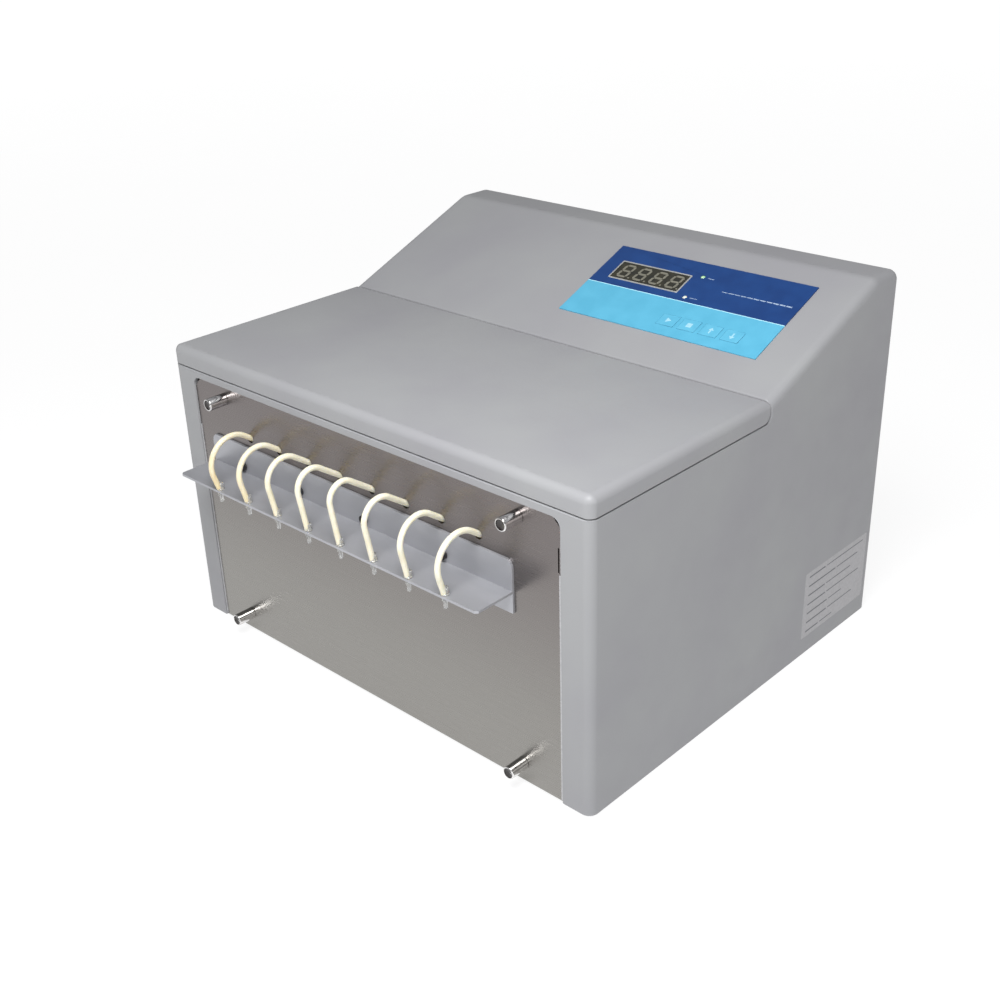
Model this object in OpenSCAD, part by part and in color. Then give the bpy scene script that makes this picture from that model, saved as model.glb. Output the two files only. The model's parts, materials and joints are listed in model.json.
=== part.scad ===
/* [Case] */
// Width of the case
body_w = 350; // [340:1:380]
// Depth of the case
body_d = 296; // [290:1:320]
// Height of the seam under the lid
seam_z = 184; // [182:0.5:190]
// Height of the closed lid's top
lid_top = 197; // [195:0.5:203]
// Height of the flat rear top
rear_top = 240.5; // [232:0.5:260]
// Depth at which the console slope starts
crease_v = 158.3; // [156:0.1:165]
// Depth at which the slope meets the flat top
crest_v = 268; // [255:1:272]
// Wall thickness of the shell
wall = 3; // [2.5:0.1:3.5]
// Radius of the upright corners
corner_r = 6; // [4:0.5:7]

/* [Lid] */
// Gap between lid and case
lid_gap = 0.8; // [0.6:0.1:1.2]
// Distance of the two hinges from the middle
hinge_x = 120; // [80:1:140]
// Radius of the lid's rear top edge, about the hinge axis
barrel_r = 2.6; // [2.4:0.1:2.8]

/* [Front plate and rail] */
// Half width of the steel front plate
plate_x = 154.7; // [150:0.1:158]
// Top edge of the front plate
plate_top = 179; // [176:0.5:180]
// Sheet thickness of plate and rail
sheet = 1.5; // [1.2:0.1:2]
// Stud diameter
stud_d = 8; // [6:0.5:10]
// Stud length in front of the plate
stud_len = 13; // [8:1:18]
// Height of the rail's shelf
rail_top = 125.3; // [120:0.1:127]
// Reach of the rail in front of the case
rail_reach = 28; // [27:0.5:30]

/* [Channels] */
// Spacing of the tubes
pitch = 28.3; // [26:0.1:28.5]
// Outside diameter of the pump tubes
tube_od = 3.5; // [3:0.1:4]
// Slope of the tubes where they pass the front plate
exit_a = 35; // [33:1:36]
// Height at which the tubes pass the front plate
exit_z = 150.5; // [150:0.1:152]

/* [Rotor] */
// Radius that the rollers reach
track_r = 25; // [24:0.5:25]
// Roller diameter
roller_d = 12; // [10:0.5:12]
// Depth of the rotor axis behind the front face
rotor_v = 70; // [70:0.5:72]

/* [Hidden] */
$fn = 48;
eps = 0.01;
channels = 8;
mid_x = -3;
loop_top = [157.2, 158.4, 160.5, 162.6, 163.5, 161.5, 159.5, 157.6];
loop_out = 30;
screw_x = [-110, -54, 4.5, 70];
foot_x = 140;
stud_x = 125;
stud_high = 171;
stud_low = 14;
base_z = 1.5;
floor_z = 5;

tube_r = tube_od / 2;
plate_v = 1;
pass_v = plate_v + sheet / 2;
nozzle_u = rail_reach - 2.6;
slope_a = atan2(rear_top - lid_top, crest_v - crease_v);
axis_v = crease_v - 0.5 - barrel_r;
axis_z = lid_top - barrel_r;

// Tube route behind the plate, ending on the rotor's wrap
wrap_r = track_r + tube_r + 0.4;
dip_r = 16;
rise_r = 25;
wrap_x = wrap_r * sin(45);
dip_len = (rotor_v - wrap_x - dip_r * (sin(45) + sin(exit_a)) - pass_v) / cos(exit_a);
rotor_z = exit_z - dip_len * sin(exit_a) + dip_r * (cos(exit_a) - cos(45)) - wrap_x;
run_z = rotor_z + wrap_x - rise_r * (1 - cos(45));
bed_r = wrap_r + tube_r + 0.15;
tail_v = body_d - 10;

function chan_x(i) = mid_x + (i - (channels - 1) / 2) * pitch;
function loop_r(i) = (loop_out + pass_v - (loop_top[i] - exit_z) / tan(exit_a))
    / (1 + sin(exit_a) - (1 - cos(exit_a)) / tan(exit_a));
function loop_cu(i) = loop_out - loop_r(i);
function loop_cz(i) = loop_top[i] - loop_r(i);
function loop_h(i) = loop_cz(i) - (rail_top + 2);
function loop_k(i) = nozzle_u - loop_cu(i);
function loop_b(i) = asin(loop_r(i) / norm([loop_h(i), loop_k(i)])) - atan2(loop_k(i), loop_h(i));

front_reach = loop_out + tube_r;
rear_reach = 12;
front_y = -(body_d + rear_reach - front_reach) / 2;

// Rotor and chassis
roller_c = track_r - roller_d / 2;
end_l = -118;
end_r = 107.2;
end_t = 3;
disc_l = -116;
disc_r = 100.4;
disc_t = 4.6;
chassis_z = rotor_z - 31;
rod_r = 3;
front_rod = [rotor_v - 30.5, rotor_z + 30.5];
rear_rod = [rotor_v + 41, rotor_z + 25.7];
motor_x = end_r + end_t;

// Console
panel_x0 = -4;
panel_x1 = 146;
panel_s0 = 27.7;
panel_s1 = 99.1;
key_w = 12.5;
key_h = 10;
key_s = 41;
key_gap = 0.2;
key_x = [74.5, 90.2, 105.9, 121.6];
lamp = [[70, 86], [70.5, 64.5]];

// Everything is drawn from the front face of the case and moved to the shared frame
module placed() { translate([0, front_y, 0]) children(); }
// Local x, distance up the slope, height above it
module on_slope() { translate([0, crease_v, lid_top]) rotate([slope_a, 0, 0]) children(); }
// Cylinder along x from x0 to x1 at depth v and height z
module along_x(x0, x1, v, z, r) { translate([x0, v, z]) rotate([0, 90, 0]) cylinder(h = x1 - x0, r = r); }
// Cylinder along depth from v0 to v1
module along_v(x, v0, v1, z, r) { translate([x, v0, z]) rotate([-90, 0, 0]) cylinder(h = v1 - v0, r = r); }
module block(x0, x1, v0, v1, z0, z1) { translate([x0, v0, z0]) cube([x1 - x0, v1 - v0, z1 - z0]); }

// Points of an arc about c from angle a to b
function arc(c, r, a, b, n = 6) = [for (i = [0:n]) c + r * [cos(a + (b - a) * i / n), sin(a + (b - a) * i / n)]];

// Outline in depth and height, extruded across the width
module across(w, pts) { translate([-w / 2, 0, 0]) rotate([90, 0, 90]) linear_extrude(w) polygon(pts); }

module plan(w, v0, v1, r, z0, z1) {
    translate([0, 0, z0]) linear_extrude(z1 - z0) union() {
        translate([-w / 2 + r, v0]) square([w - 2 * r, v1 - v0]);
        translate([-w / 2, v0 + r]) square([w, v1 - v0 - 2 * r]);
        for (x = [-1, 1], v = [v0 + r, v1 - r]) translate([x * (w / 2 - r), v]) circle(r);
    }
}

crest_r = 16;
crest_k = crest_r * tan(slope_a / 2);
module shell_outline() {
    across(body_w, concat(
        [[0, base_z], [0, seam_z], [crease_v - 5, seam_z]],
        arc([crease_v - 5, seam_z + 5], 5, -90, 0),
        [[crease_v, lid_top]],
        arc([crest_v + crest_k, rear_top - crest_r], crest_r, 90 + slope_a, 90),
        arc([body_d - 6, rear_top - 6], 6, 90, 0),
        [[body_d, base_z]]));
}

module rounded_cut(x, v0, v1, z0, z1, r) {
    translate([0, v0, 0]) rotate([90, 0, 0]) translate([0, 0, v0 - v1]) linear_extrude(v1 - v0) union() {
        translate([-x, z0 + r]) square([2 * x, z1 - z0 - 2 * r]);
        translate([-x + r, z0]) square([2 * x - 2 * r, z1 - z0]);
        for (s = [-1, 1], z = [z0 + r, z1 - r]) translate([s * (x - r), z]) circle(r);
    }
}

module housing() color("silver") placed() {
    t = tan(slope_a);
    d = wall / cos(slope_a);
    iv = crease_v + wall;
    difference() {
        union() {
            difference() {
                intersection() {
                    shell_outline();
                    plan(body_w, 0, body_d, corner_r, 0, rear_top + 1);
                }
                across(body_w - 2 * wall, [[wall, -1], [wall, seam_z - wall], [iv, seam_z - wall],
                    [iv, lid_top + wall * t - d],
                    [crease_v + (rear_top - wall - lid_top + d) / t, rear_top - wall],
                    [body_d - wall, rear_top - wall], [body_d - wall, -1]]);
            }
            for (s = [-1, 1])
                block(s * stud_x - 8, s * stud_x + 8, wall, 12, stud_high - 7, seam_z - wall + 1);
        }
        rounded_cut(plate_x + 0.3, -1, wall + eps, -20, plate_top + 0.5, 6);
        plan(300, 14, 148, 8, seam_z - wall - 1, seam_z + 1);
        rounded_cut(150, body_d - wall - 1, body_d + 1, 14, 222, 5);
        for (s = [-1, 1]) {
            along_v(s * stud_x, wall - 1, 13, stud_high, 2.05);
            for (z = [24, 118, 212]) along_v(s * 158, body_d - wall - 1, body_d + 1, z, 1.6);
        }
        on_slope() {
            block(9, 61.5, 65.5, 85.5, -wall - 1, 1);
            for (x = key_x) block(x - key_w / 2 - key_gap, x + key_w / 2 + key_gap,
                key_s - key_h / 2 - key_gap, key_s + key_h / 2 + key_gap, -1.5, 1);
            for (p = lamp) translate([p[0], p[1], -wall - 1]) cylinder(h = wall + 2, r = 1.6);
        }
        block(body_w / 2 - 0.4, body_w / 2 + 1, 212, 288, 13.5, 62);
    }
}

module base_plate() color("dimgray") placed() {
    difference() {
        union() {
            block(-168, 168, 7, body_d - 8, floor_z, floor_z + sheet);
            block(-150, 150, 7, 7 + sheet, floor_z, 24);
            for (s = [-1, 1])
                block(s * 168 - sheet / 2, s * 168 + sheet / 2, 12, body_d - 12, floor_z, 22);
        }
        for (s = [-1, 1]) along_v(s * stud_x, 6, 10, stud_low, 2);
        for (x = [-60:30:60], v = [150, 250])
            block(x - 10, x + 10, v, v + 5, floor_z - 1, floor_z + sheet + 1);
    }
}

module rubber_feet() color("black") placed() {
    for (x = [-foot_x, foot_x], v = [28, body_d - 28]) translate([x, v, 0]) difference() {
        union() {
            cylinder(h = 1, r1 = 9, r2 = 10);
            translate([0, 0, 1]) cylinder(h = floor_z - 1, r = 10);
        }
        translate([0, 0, -1]) cylinder(h = 3, r = 4);
    }
}

module front_plate() color("lightgray") placed() {
    difference() {
        union() {
            block(-plate_x, plate_x, plate_v, plate_v + sheet, 2, plate_top);
            for (s = [-1, 1])
                block(min(s * plate_x, s * (plate_x - sheet)), max(s * plate_x, s * (plate_x - sheet)),
                    plate_v, 14, 8, plate_top - 8);
        }
        for (i = [0:channels - 1]) along_v(chan_x(i), 0, 5, exit_z, 3);
        for (s = [-1, 1], z = [stud_low, stud_high]) along_v(s * stud_x, 0, 5, z, 2);
        block(plate_x - 2.2, plate_x + 1, 0, 15, 147.5, 162);
        for (s = [-1, 1]) translate([s * plate_x, plate_v - 1, plate_top]) rotate([0, 45, 0])
            cube([8, 30, 8], center = true);
        for (x = screw_x) along_v(x, 0, 5, rail_top + 4.3, 1.6);
    }
    translate([plate_x - 1.2, plate_v + 1.3, 147]) cylinder(h = 15.5, r = 1.1);
}

module front_studs() color("gainsboro") placed() {
    for (s = [-1, 1], z = [stud_low, stud_high]) translate([s * stud_x, plate_v, z]) rotate([90, 0, 0])
        difference() {
            union() {
                cylinder(h = stud_len - 0.6, r = stud_d / 2);
                translate([0, 0, stud_len - 0.6]) cylinder(h = 0.6, r1 = stud_d / 2, r2 = stud_d / 2 - 0.6);
                translate([0, 0, -9]) cylinder(h = 9 + eps, r = 2);
            }
            translate([0, 0, stud_len - 1.2]) cylinder(h = 2, r = stud_d / 2 - 1.4);
        }
}

rail_x0 = -141;
rail_x1 = 121.5;
module nozzle_rail() color("gray") placed() {
    difference() {
        union() {
            block(rail_x0, rail_x1, -rail_reach, plate_v, rail_top - sheet, rail_top);
            block(rail_x0 + 3, rail_x1 - 3, plate_v - sheet, plate_v, 111.6, 144);
            block(rail_x0, rail_x1, plate_v - sheet, plate_v, 111.6, 139);
            for (s = [0, 1]) along_v(s ? rail_x1 - 5 : rail_x0 + 5, plate_v - sheet, plate_v, 139, 5);
        }
        for (i = [0:channels - 1]) translate([chan_x(i), -nozzle_u, rail_top - 3]) cylinder(h = 5, r = 2);
        for (x = screw_x) along_v(x, -5, 5, rail_top + 4.3, 1.6);
        for (x = [rail_x0, rail_x1]) translate([x, -rail_reach, rail_top]) rotate([0, 0, 45])
            cube([2.4, 2.4, 8], center = true);
    }
}

module rail_screws() color("black") placed() {
    for (x = screw_x) translate([x, plate_v - sheet, rail_top + 4.3]) rotate([90, 0, 0]) difference() {
        union() {
            cylinder(h = 1.8, r = 2.9);
            translate([0, 0, -6]) cylinder(h = 6 + eps, r = 1.6);
        }
        for (a = [0, 90]) rotate([0, 0, a]) translate([-1.8, -0.35, 1]) cube([3.6, 0.7, 2]);
    }
}

module nozzles() color("white") placed() {
    for (i = [0:channels - 1]) translate([chan_x(i), -nozzle_u, rail_top]) {
        cylinder(h = 0.9, r = 2.6);
        translate([0, 0, 0.9]) cylinder(h = 3.6, r = 2.2);
        translate([0, 0, -4]) cylinder(h = 4 + eps, r = 2);
        translate([0, 0, -8.5]) cylinder(h = 4.5 + eps, r = 1.2);
    }
}

// Points of the tube's route, each with the slope of the tube there
function turn_down(c, r, a0, a1, n, k0 = 0) =
    [for (k = [k0:n]) let (a = a0 + (a1 - a0) * k / n) [c[0] - r * sin(a), c[1] + r * cos(a), a]];
function turn_up(c, r, a0, a1, n, k0 = 0) =
    [for (k = [k0:n]) let (a = a0 + (a1 - a0) * k / n) [c[0] + r * sin(a), c[1] - r * cos(a), a]];
function route(i) = let (
    b = loop_b(i),
    c = [-loop_cu(i), loop_cz(i)],
    e = c - loop_r(i) * [cos(b), sin(b)],
    d = (e[1] - rail_top - 2) / cos(b),
    q = [pass_v, exit_z] + dip_len * [cos(exit_a), -sin(exit_a)]
) concat(
    [[e[0] + d * sin(b), e[1] - d * cos(b), 90 + b]],
    turn_down(c, loop_r(i), 90 + b, -exit_a, 12),
    turn_up(q + dip_r * [sin(exit_a), cos(exit_a)], dip_r, -exit_a, 45, 7),
    turn_down([rotor_v, rotor_z], wrap_r, 45, -45, 8, 1),
    turn_up([rotor_v + wrap_x + rise_r * sin(45), run_z + rise_r], rise_r, -45, 0, 4, 1),
    [[tail_v, run_z, 0]]);

sides = 8;
module pump_tube(i) placed() translate([chan_x(i), 0, 0]) {
    w = route(i);
    m = len(w) - 1;
    polyhedron(
        [for (p = w, k = [0:sides - 1]) let (f = 360 * k / sides, g = tube_r * cos(f))
            [tube_r * sin(f), p[0] - g * sin(p[2]), p[1] + g * cos(p[2])]],
        concat(
            [[for (k = [0:sides - 1]) k]],
            [[for (k = [sides - 1:-1:0]) m * sides + k]],
            [for (j = [0:m - 1], k = [0:sides - 1]) let (n = (k + 1) % sides)
                [j * sides + k, (j + 1) * sides + k, (j + 1) * sides + n, j * sides + n]]));
}
module pump_tube_1() color("wheat") pump_tube(0);
module pump_tube_2() color("wheat") pump_tube(1);
module pump_tube_3() color("wheat") pump_tube(2);
module pump_tube_4() color("wheat") pump_tube(3);
module pump_tube_5() color("wheat") pump_tube(4);
module pump_tube_6() color("wheat") pump_tube(5);
module pump_tube_7() color("wheat") pump_tube(6);
module pump_tube_8() color("wheat") pump_tube(7);

back_v = body_d - wall;
module inlet_barbs() color("white") placed() {
    for (i = [0:channels - 1]) {
        along_v(chan_x(i), tail_v, back_v, run_z, 3);
        along_v(chan_x(i), back_v, body_d, run_z, 5);
        along_v(chan_x(i), body_d - eps, body_d + rear_reach, run_z, 2);
    }
}

in_x = -105;
sw_x = -55;
low_z = 45;
module rear_panel() color("gray") placed() {
    difference() {
        block(-166, 166, back_v - sheet, back_v, 8, 232);
        for (i = [0:channels - 1]) along_v(chan_x(i), back_v - 5, back_v + 5, run_z, 3.05);
        block(in_x - 14, in_x + 14, back_v - 5, back_v + 5, low_z - 10, low_z + 10);
        block(sw_x - 9.5, sw_x + 9.5, back_v - 5, back_v + 5, low_z - 13.5, low_z + 13.5);
        for (x = [-112:14:112], z = [158, 190]) block(x - 2, x + 2, back_v - 5, back_v + 5, z, z + 24);
        for (s = [-1, 1], z = [24, 118, 212]) along_v(s * 158, back_v - 5, back_v + 5, z, 1.6);
    }
}

module case_screws() color("darkgray") placed() {
    for (s = [-1, 1], z = [24, 118, 212]) translate([s * 158, body_d, z]) rotate([-90, 0, 0])
        difference() {
            union() {
                cylinder(h = 2, r = 3);
                translate([0, 0, -8]) cylinder(h = 8 + eps, r = 1.6);
            }
            for (a = [0, 90]) rotate([0, 0, a]) translate([-2, -0.4, 1.2]) cube([4, 0.8, 2]);
        }
}

module power_inlet() color("black") placed() {
    difference() {
        union() {
            block(in_x - 14, in_x + 14, back_v - 20, back_v, low_z - 10, low_z + 10);
            block(in_x - 25, in_x + 25, back_v, back_v + 3, low_z - 12, low_z + 12);
        }
        block(in_x - 12, in_x + 12, back_v - 14, back_v + 4, low_z - 8, low_z + 8);
        for (s = [-1, 1]) along_v(in_x + s * 20, back_v - 1, back_v + 4, low_z, 1.7);
    }
    for (x = [-7, 0, 7]) block(in_x + x - 1, in_x + x + 1, back_v - 15, back_v - 3,
        low_z - 2 + (x == 0 ? 3 : 0), low_z + 2 + (x == 0 ? 3 : 0));
}

rock_v = back_v - 2;
module switch_bezel() color("black") placed() {
    difference() {
        union() {
            block(sw_x - 9.5, sw_x + 9.5, back_v - 13, back_v, low_z - 13.5, low_z + 13.5);
            block(sw_x - 11.5, sw_x + 11.5, back_v, back_v + 2, low_z - 15.5, low_z + 15.5);
        }
        block(sw_x - 6.8, sw_x + 6.8, back_v - 10, back_v + 3, low_z - 10.8, low_z + 10.8);
        along_x(sw_x - 8.4, sw_x + 8.4, rock_v, low_z, 1.06);
    }
}

module power_rocker() color("firebrick") placed() {
    translate([sw_x, rock_v, low_z]) {
        rotate([-9, 0, 0]) translate([-6.5, 0, 0]) rotate([90, 0, 90]) linear_extrude(13)
            polygon([[-4, -9], [-4, 9], [5.6, 9.4], [4.4, 0], [5.6, -9.4]]);
        rotate([0, 90, 0]) cylinder(h = 16.4, r = 1, center = true);
    }
}

module partition() color("lightsteelblue") placed() {
    difference() {
        union() {
            block(-166, 166, 136, 136 + sheet, floor_z + sheet, 176);
            block(-166, 166, 136, 148, floor_z + sheet, floor_z + 2 * sheet);
        }
        for (i = [0:channels - 1]) along_v(chan_x(i), 130, 145, run_z, 2.6);
        block(120, 150, 130, 140, 30, 60);
    }
}

chassis_v0 = 24;
chassis_v1 = 122;
module pump_chassis() color("slategray") placed() {
    difference() {
        union() {
            block(end_l - end_t, motor_x, chassis_v0, chassis_v1, chassis_z - 2, chassis_z);
            for (x = [end_l - end_t, end_r])
                block(x, x + end_t, chassis_v0, chassis_v1, chassis_z - 2, rotor_z + 37);
        }
        along_x(end_l - 10, end_l + 1, rotor_v, rotor_z, 9);
        along_x(end_r - 1, end_r + 5, rotor_v, rotor_z, 19.1);
        for (p = [front_rod, rear_rod]) along_x(end_l - 5, motor_x + 1, p[0], p[1], rod_r);
        for (a = [-1, 1], b = [-1, 1])
            along_x(end_r - 1, end_r + 5, rotor_v + a * 23.5, rotor_z + b * 23.5, 2.5);
        for (x = [-90:30:80], v = [48, 88]) block(x - 9, x + 9, v, v + 6, chassis_z - 3, chassis_z + 1);
    }
}

post_x = [-105, 92];
module chassis_posts() color("gainsboro") placed() {
    for (x = post_x, v = [chassis_v0 + 10, chassis_v1 - 10]) translate([x, v, floor_z + sheet])
        cylinder(h = chassis_z - 2 - floor_z - sheet, r = 5);
}

module shaft_bearing() color("lightgray") placed() {
    difference() {
        union() {
            along_x(end_l - end_t - 3, end_l - end_t, rotor_v, rotor_z, 11);
            along_x(end_l - end_t - eps, end_l, rotor_v, rotor_z, 9);
        }
        along_x(end_l - 10, end_l + 1, rotor_v, rotor_z, 5.05);
    }
}

module cassette_rods() color("gainsboro") placed() {
    for (p = [front_rod, rear_rod]) along_x(end_l - end_t - 3, motor_x, p[0], p[1], rod_r);
}

module stepper_motor() color("dimgray") placed() {
    s = 28.2;
    difference() {
        union() {
            block(motor_x, motor_x + 5, rotor_v - s, rotor_v + s, rotor_z - s, rotor_z + s);
            block(motor_x + 5, motor_x + 33, rotor_v - s + 2, rotor_v + s - 2, rotor_z - s + 2, rotor_z + s - 2);
            block(motor_x + 33, motor_x + 41, rotor_v - s, rotor_v + s, rotor_z - s, rotor_z + s);
            along_x(motor_x - 1.6, motor_x + 1, rotor_v, rotor_z, 19);
            block(motor_x + 34, motor_x + 40, rotor_v - 8, rotor_v + 8, rotor_z - s - 6, rotor_z - s + 1);
            for (a = [-1, 1], b = [-1, 1])
                along_x(end_r, motor_x + 1, rotor_v + a * 23.5, rotor_z + b * 23.5, 2.5);
        }
        along_x(motor_x - 3, motor_x + 14, rotor_v, rotor_z, 3.22);
    }
}

module drive_shaft() color("gainsboro") placed() {
    along_x(end_l - end_t - 5, motor_x - 3, rotor_v, rotor_z, 5);
    along_x(motor_x - 3 - eps, motor_x + 13, rotor_v, rotor_z, 3.175);
}

function roller_at(k) = [rotor_v + roller_c * cos(60 * k + 15), rotor_z + roller_c * sin(60 * k + 15)];
module rotor_discs() color("goldenrod") placed() {
    for (x = [disc_l, disc_r]) difference() {
        along_x(x, x + disc_t, rotor_v, rotor_z, 22.5);
        along_x(x - 1, x + disc_t + 1, rotor_v, rotor_z, 5);
        for (k = [0:5]) along_x(x - 1, x + disc_t + 1, roller_at(k)[0], roller_at(k)[1], 2);
    }
}
module roller_pins() color("gainsboro") placed() {
    for (k = [0:5]) along_x(disc_l, disc_r + disc_t, roller_at(k)[0], roller_at(k)[1], 2);
}

module roller(k) placed() difference() {
    along_x(disc_l + disc_t + 0.3, disc_r - 0.3, roller_at(k)[0], roller_at(k)[1], roller_d / 2);
    along_x(disc_l, disc_r + disc_t, roller_at(k)[0], roller_at(k)[1], 2.06);
}
module roller_1() color("whitesmoke") roller(0);
module roller_2() color("whitesmoke") roller(1);
module roller_3() color("whitesmoke") roller(2);
module roller_4() color("whitesmoke") roller(3);
module roller_5() color("whitesmoke") roller(4);
module roller_6() color("whitesmoke") roller(5);

cassette_w = 20;
module cassette(i) placed() translate([chan_x(i), rotor_v, rotor_z]) {
    h = cassette_w / 2;
    difference() {
        union() {
            across(cassette_w, [[-44, 38], [-43, 41], [-36, 42.5], [-8, 46], [12, 46], [43, 31.8],
                [41, 19.5], [20, 19.5], [-20, 19.5], [-23, 31], [-38, 31], [-38, 38]]);
            along_x(-h, h, rear_rod[0] - rotor_v, rear_rod[1] - rotor_z, 6.4);
            translate([0, 2, 46]) cylinder(h = 3, r = 6);
        }
        along_x(-h - 1, h + 1, 0, 0, bed_r);
        along_x(-h - 1, h + 1, -30.5, 30.5, rod_r + 0.3);
        along_x(-h - 1, h + 1, rear_rod[0] - rotor_v, rear_rod[1] - rotor_z, rod_r + 0.06);
        translate([-5.2, 1.5, 47.6]) cube([10.4, 1, 3]);
    }
}
module cassette_1() color("royalblue") cassette(0);
module cassette_2() color("royalblue") cassette(1);
module cassette_3() color("royalblue") cassette(2);
module cassette_4() color("royalblue") cassette(3);
module cassette_5() color("royalblue") cassette(4);
module cassette_6() color("royalblue") cassette(5);
module cassette_7() color("royalblue") cassette(6);
module cassette_8() color("royalblue") cassette(7);

module power_supply() color("lightsteelblue") placed() {
    z = floor_z + sheet;
    difference() {
        block(-152, -54, 155, 270, z, z + 40);
        for (v = [170:8:254], x = [-140, -100]) block(x, x + 30, v, v + 3, z + 38.5, z + 41);
    }
    block(-148, -58, 270, 280, z, z + 18);
    for (k = [0:6]) translate([-142 + k * 13, 276, z + 18]) cylinder(h = 2, r = 3);
}

module control_board() color("seagreen") placed() {
    z = floor_z + sheet;
    for (x = [-34, 96], v = [166, 264]) translate([x, v, z]) cylinder(h = 10, r = 3);
    block(-40, 102, 160, 270, z + 10, z + 11.6);
    block(-20, 0, 190, 210, z + 11.6, z + 14.5);
    block(20, 34, 185, 225, z + 11.6, z + 15);
    block(50, 90, 176, 196, z + 11.6, z + 34);
    for (x = [56:8:84]) block(x, x + 3, 178, 194, z + 34, z + 44);
    for (x = [-28, -8, 12]) translate([x, 245, z + 11.6]) cylinder(h = 22, r = 7);
    for (k = [0:2]) block(44 + k * 18, 58 + k * 18, 256, 268, z + 11.6, z + 23);
}

module display_board() color("seagreen") placed() on_slope() {
    block(4, 140, 32, 94, -10.4, -8.8);
    for (x = [8, 136], s = [36, 90]) translate([x, s, -8.8]) cylinder(h = 8.8 - wall, r = 2.5);
    for (x = key_x) block(x - 3, x + 3, key_s - 3, key_s + 3, -8.8, -5.2);
    block(96, 112, 76, 90, -13, -10.4);
}

module display_module() color("black") placed() on_slope() block(10, 60.3, 66.2, 84.8, -8.8, -0.9);

module display_window() color("dimgray") placed() on_slope() block(8.2, 62.3, 67, 84, 0, 0.9);

module membrane_panel() color("steelblue") placed() on_slope() difference() {
    block(panel_x0, panel_x1, panel_s0, panel_s1, 0, 0.8);
    block(8.2, 62.3, 67, 84, -1, 2);
    for (x = key_x) block(x - key_w / 2 - key_gap, x + key_w / 2 + key_gap,
        key_s - key_h / 2 - key_gap, key_s + key_h / 2 + key_gap, -1, 2);
    for (p = lamp) translate([p[0], p[1], -1]) cylinder(h = 3, r = 1.6);
}

module lamps() color("palegreen") placed() on_slope()
    for (p = lamp) translate([p[0], p[1], -8.8]) cylinder(h = 9.8, r = 1.5);

module key(k) placed() on_slope() block(key_x[k] - key_w / 2, key_x[k] + key_w / 2,
    key_s - key_h / 2, key_s + key_h / 2, -0.6, 0.9);
module key_1() color("skyblue") key(0);
module key_2() color("skyblue") key(1);
module key_3() color("skyblue") key(2);
module key_4() color("skyblue") key(3);

module rating_label() color("lightgray") placed()
    block(body_w / 2 - 0.4, body_w / 2, 212, 288, 13.5, 62);

knuckle_r = 2;
fillet_v = crease_v - 5;
module hinge_leaves() color("gainsboro") placed() for (s = [-1, 1]) {
    x = s * hinge_x;
    difference() {
        union() {
            along_x(x - 6, x + 6, axis_v, axis_z, knuckle_r);
            block(x - 6, x + 6, axis_v - knuckle_r, axis_v - 0.8, seam_z + 0.3, axis_z);
            block(x - 12, x + 12, fillet_v - 4.5, fillet_v, seam_z, seam_z + 1.6);
            block(x - 6, x + 6, fillet_v - 1, axis_v - 0.8, seam_z + 0.3, seam_z + 1.6);
        }
        along_x(x - 7, x + 7, axis_v, axis_z, 1.2);
    }
}

module hinge_pins() color("darkgray") placed() for (s = [-1, 1])
    along_x(s * hinge_x - 15, s * hinge_x + 15, axis_v, axis_z, 1.2);

module lid() color("silver") placed() {
    r = 5;
    v1 = axis_v + barrel_r;
    z0 = seam_z + lid_gap;
    w = body_w / 2 - wall;
    difference() {
        intersection() {
            across(body_w, concat([[0, z0]], arc([r, lid_top - r], r, 180, 90),
                arc([axis_v, axis_z], barrel_r, 90, 0), arc([v1 - 6, z0 + 6], 6, 0, -90)));
            plan(body_w, 0, v1 + 20, corner_r, z0 - 1, lid_top + 1);
            rounded_cut(body_w / 2, -1, v1 + 1, z0 - 20, lid_top, r);
        }
        across(2 * w, [[wall, z0 - 1], [wall, lid_top - wall], [axis_v - 3, lid_top - wall],
            [axis_v - 3, axis_z - 3], [v1 + 5, axis_z - 3], [v1 + 5, z0 - 1]]);
        for (s = [-1, 1]) {
            block(s * hinge_x - 6.3, s * hinge_x + 6.3, axis_v - barrel_r - 0.6, v1 + 5, z0 - 1, axis_z);
            along_x(s * hinge_x - 6.3, s * hinge_x + 6.3, axis_v, axis_z, knuckle_r + 0.1);
            along_x(s * hinge_x - 15.3, s * hinge_x + 15.3, axis_v, axis_z, 1.25);
        }
    }
}

housing();
base_plate();
rubber_feet();
front_plate();
front_studs();
nozzle_rail();
rail_screws();
nozzles();
pump_tube_1();
pump_tube_2();
pump_tube_3();
pump_tube_4();
pump_tube_5();
pump_tube_6();
pump_tube_7();
pump_tube_8();
inlet_barbs();
rear_panel();
case_screws();
power_inlet();
switch_bezel();
power_rocker();
partition();
pump_chassis();
chassis_posts();
shaft_bearing();
cassette_rods();
stepper_motor();
drive_shaft();
rotor_discs();
roller_pins();
roller_1();
roller_2();
roller_3();
roller_4();
roller_5();
roller_6();
cassette_1();
cassette_2();
cassette_3();
cassette_4();
cassette_5();
cassette_6();
cassette_7();
cassette_8();
power_supply();
control_board();
display_board();
display_module();
display_window();
membrane_panel();
lamps();
key_1();
key_2();
key_3();
key_4();
rating_label();
hinge_leaves();
hinge_pins();
lid();
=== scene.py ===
"""The look of the benchtop peristaltic pump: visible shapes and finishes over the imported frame."""

import json
import math

import bmesh
import bpy
from mathutils import Matrix, Vector


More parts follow.
